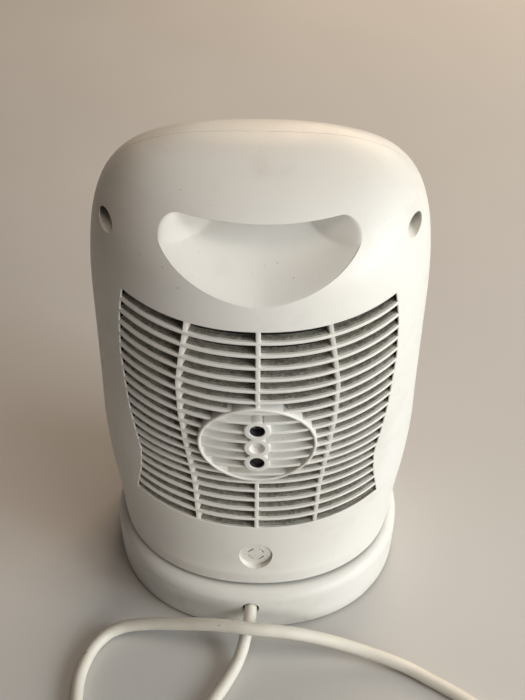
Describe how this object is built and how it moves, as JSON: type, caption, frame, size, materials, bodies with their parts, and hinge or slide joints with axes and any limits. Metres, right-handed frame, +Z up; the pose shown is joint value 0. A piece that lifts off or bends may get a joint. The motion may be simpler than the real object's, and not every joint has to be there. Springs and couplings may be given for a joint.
{
  "type": "ceramic space heater",
  "caption": "Small swinging ceramic fan heater with a domed white body, louvred intake grille, finger scoop, front outlet and an oval base with a mains cord.",
  "frame": {"origin": "centre of the oval base at floor level", "axes": "+Z up, the front outlet and controls face -Y, the intake grille and finger scoop face +Y"},
  "size_m": [0.2466, 0.3235, 0.27],
  "materials": {
    "shell_white": "satin moulded",
    "base_white": "satin moulded",
    "cord_white": "matt PVC",
    "filter_grey": "dusty mesh",
    "panel_grey": "fine grain",
    "knob_white": "satin",
    "dark_plastic": "satin",
    "fan_black": "satin",
    "steel": "plated",
    "brass": "plain",
    "ptc_ceramic": "fired, with metal fins",
    "rubber": "matt",
    "lamp_amber": "clear amber"
  },
  "bodies": {
    "foot": {"base_cover": "base_white", "base_plate": "dark_plastic", "rubber_foot_1": "rubber", "rubber_foot_2": "rubber", "rubber_foot_3": "rubber", "rubber_foot_4": "rubber", "plate_screw_1": "steel", "plate_screw_2": "steel", "plate_screw_3": "steel", "plate_screw_4": "steel", "tip_switch": "dark_plastic", "swing_motor": "steel", "thrust_washer": "dark_plastic", "cord_bushing": "rubber", "cord_clamp": "dark_plastic", "mains_cord": "cord_white", "cord_coil": "cord_white", "cord_tie": "dark_plastic", "plug_body": "cord_white", "plug_pin_left": "steel", "plug_pin_right": "steel"},
    "heater_body": {"rear_shell": "shell_white", "front_shell": "shell_white", "dust_filter": "filter_grey", "outlet_grille": "panel_grey", "control_panel": "panel_grey", "power_lamp": "lamp_amber", "rotary_switch": "dark_plastic", "thermostat": "steel", "swing_switch": "dark_plastic", "fan_motor": "steel", "motor_cap": "base_white", "fan_shroud": "dark_plastic", "heater_frame": "dark_plastic", "ceramic_element": "ptc_ceramic", "terminal_live": "brass", "terminal_neutral": "brass", "thermal_cutout": "steel", "thermal_fuse": "steel", "body_floor": "dark_plastic", "pivot_collar": "dark_plastic", "swing_arm": "steel", "retaining_ring": "steel", "well_screw_left": "steel", "well_screw_right": "steel", "motor_screw_top": "steel", "motor_screw_bottom": "steel"},
    "fan": {"fan_impeller": "fan_black", "fan_shaft": "steel"},
    "function_knob": {"function_knob": "knob_white"},
    "thermostat_knob": {"thermostat_knob": "knob_white"},
    "swing_button": {"swing_button": "knob_white"},
    "swing_crank": {"swing_crank": "brass"},
    "tip_plunger": {"tip_plunger": "knob_white"}
  },
  "joints": [
    {"name": "body_swing", "type": "hinge", "parent": "foot", "child": "heater_body", "pos_m": [0, 0, 0.032], "axis": [0, 0, 1], "range_deg": [-26, 26]},
    {"name": "crank_turn", "type": "hinge", "parent": "foot", "child": "swing_crank", "pos_m": [0, -0.042, 0.0175], "axis": [0, 0, 1], "range_deg": [-90, 90]},
    {"name": "fan_spin", "type": "hinge", "parent": "heater_body", "child": "fan", "pos_m": [0, 0.02, 0.1405], "axis": [0, 1, 0], "continuous": true},
    {"name": "function_knob_turn", "type": "hinge", "parent": "heater_body", "child": "function_knob", "pos_m": [0.031, -0.05639, 0.22056], "axis": [0, -0.9272, 0.3746], "range_deg": [-180, 0]},
    {"name": "thermostat_knob_turn", "type": "hinge", "parent": "heater_body", "child": "thermostat_knob", "pos_m": [-0.031, -0.05639, 0.22056], "axis": [0, -0.9272, 0.3746], "range_deg": [-270, 0]},
    {"name": "swing_button_press", "type": "slide", "parent": "heater_body", "child": "swing_button", "axis": [0, 0.9272, -0.3746], "range_m": [0, 0.003], "stiffness_N_per_m": 250},
    {"name": "tip_plunger_drop", "type": "slide", "parent": "foot", "child": "tip_plunger", "axis": [0, 0, -1], "range_m": [0, 0.003], "stiffness_N_per_m": 60, "springref_m": 0.003}
  ],
  "couplings": [
    {"joint": "crank_turn", "follows": "body_swing", "ratio": 3.4615}
  ]
}
